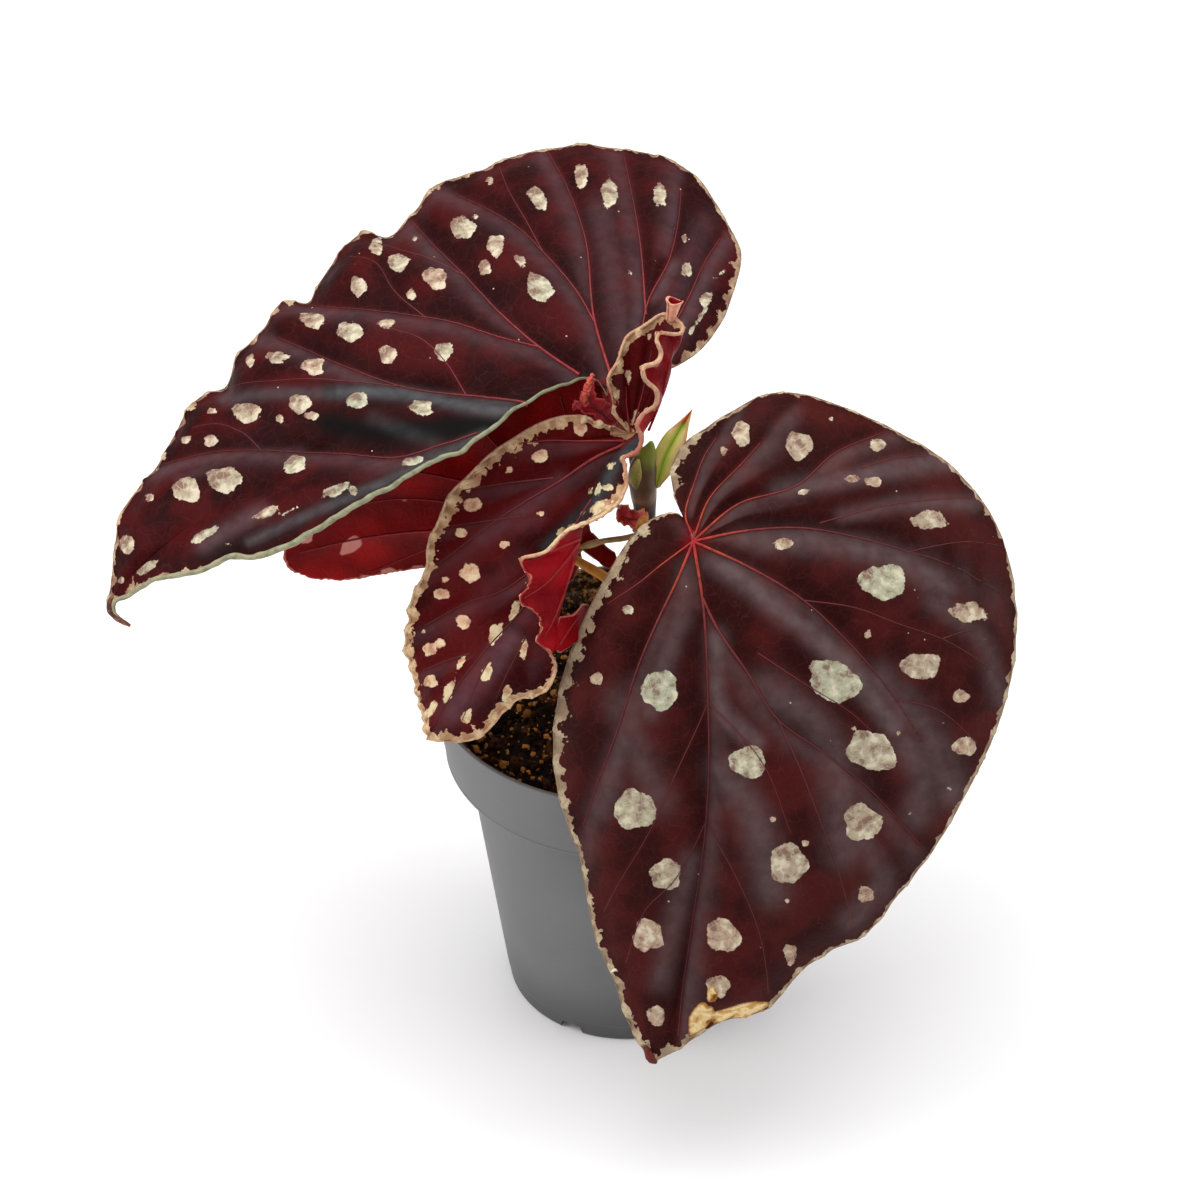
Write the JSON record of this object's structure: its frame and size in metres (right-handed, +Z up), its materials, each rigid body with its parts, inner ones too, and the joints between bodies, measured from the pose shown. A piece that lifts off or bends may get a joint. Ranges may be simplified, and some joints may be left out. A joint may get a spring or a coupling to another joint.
{
  "type": "potted begonia",
  "caption": "Potted begonia houseplant: spotted maroon leaves with pale margins and crimson undersides on a short stem in a plain grey nursery pot.",
  "frame": {"origin": "on the pot's axis, in the plane that the pot stands on", "axes": "+Z up along the pot's axis, -Y toward the viewer, +X to the viewer's right"},
  "size_m": [0.268, 0.2005, 0.2522],
  "materials": {
    "pot": "matt grey",
    "soil": "rough dark peat",
    "main_stem": "satin, olive brown",
    "upper_left_leaf": "satin, maroon with pale spots",
    "front_right_leaf": "satin, maroon with pale spots",
    "centre_leaf": "satin, maroon with pale spots",
    "back_left_leaf": "satin, crimson underside",
    "upper_left_petiole": "satin, red brown",
    "front_petiole": "satin, red brown",
    "centre_petiole": "satin, brown",
    "back_left_petiole": "satin, ochre",
    "side_shoot": "satin, pale green",
    "green_stipule": "satin, yellow green",
    "coral_bud": "satin, coral",
    "red_bract": "satin, dark red"
  },
  "bodies": {
    "root": {"pot": "pot", "soil": "soil", "main_stem": "main_stem", "upper_left_leaf": "upper_left_leaf", "front_right_leaf": "front_right_leaf", "centre_leaf": "centre_leaf", "back_left_leaf": "back_left_leaf", "upper_left_petiole": "upper_left_petiole", "front_petiole": "front_petiole", "centre_petiole": "centre_petiole", "back_left_petiole": "back_left_petiole", "side_shoot": "side_shoot", "green_stipule": "green_stipule", "coral_bud": "coral_bud", "red_bract": "red_bract"}
  },
  "joints": []
}
